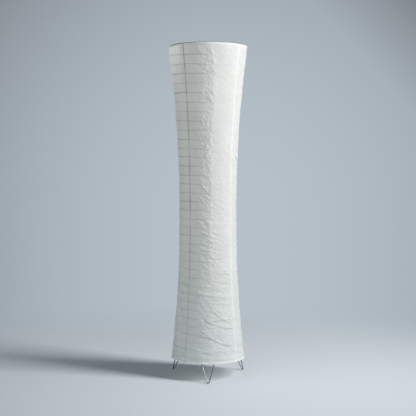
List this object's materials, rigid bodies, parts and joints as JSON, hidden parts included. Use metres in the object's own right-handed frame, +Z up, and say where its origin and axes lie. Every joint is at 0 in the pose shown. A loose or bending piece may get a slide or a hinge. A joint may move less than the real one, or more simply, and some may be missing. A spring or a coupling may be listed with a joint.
{
  "type": "paper lantern floor lamp",
  "caption": "Tall waisted paper lantern floor lamp: lapped paper strips on a continuous spiral wire, bent rods between end rings, hairpin wire feet and a screw bulb in its holder.",
  "frame": {"origin": "on the floor, under the lamp's upright axis; the box's centre lies 5.5 mm in front of it, because one of the three feet points to the front", "axes": "+Z up along the lamp's axis, front foot towards -Y, +X to the right seen from the front"},
  "size_m": [0.2736, 0.2847, 1.16],
  "materials": {
    "paper": "crinkled handmade paper, matt, lets light through",
    "spiral_steel": "thin wire, painted white-grey",
    "frame_steel": "drawn wire, satin zinc plating",
    "holder_plastic": "moulded, matt white",
    "porcelain": "unglazed, fine grained",
    "brass": "bright",
    "solder": "dull solder",
    "black_insulator": "gloss black",
    "bulb_metal": "bright",
    "bulb_white": "white",
    "opal": "opal white diffuser",
    "board_white": "white solder mask"
  },
  "bodies": {
    "lamp": {"paper_gore_1": "paper", "paper_gore_2": "paper", "paper_gore_3": "paper", "paper_gore_4": "paper", "spiral_wire": "spiral_steel", "top_ring": "frame_steel", "bottom_ring": "frame_steel", "top_cups": "frame_steel", "bottom_cups": "frame_steel", "rod_1": "frame_steel", "rod_2": "frame_steel", "rod_3": "frame_steel", "rod_4": "frame_steel", "foot_1": "frame_steel", "foot_2": "frame_steel", "foot_3": "frame_steel", "spoke_1": "frame_steel", "spoke_2": "frame_steel", "spoke_3": "frame_steel", "hub_plate": "frame_steel", "holder_cap": "holder_plastic", "holder_body": "holder_plastic", "holder_ring": "holder_plastic", "holder_core": "porcelain", "screw_shell": "brass", "centre_contact": "brass", "side_contact": "brass", "terminal_screws": "brass", "cord_bush": "holder_plastic"},
    "bulb_base": {"bulb_tip": "solder", "bulb_insulator": "black_insulator"},
    "bulb": {"bulb_cap": "bulb_metal", "bulb_housing": "bulb_white", "bulb_globe": "opal", "led_board": "board_white"}
  },
  "joints": [
    {"name": "bulb_lift", "type": "slide", "parent": "lamp", "child": "bulb_base", "axis": [0, 0, 1], "range_m": [0, 0.0218]},
    {"name": "bulb_turn", "type": "hinge", "parent": "bulb_base", "child": "bulb", "pos_m": [0, 0, 0.1], "axis": [0, 0, 1], "range_deg": [0, 2160]}
  ],
  "couplings": [
    {"joint": "bulb_lift", "follows": "bulb_turn", "m_per_rad": 0.00057757}
  ]
}
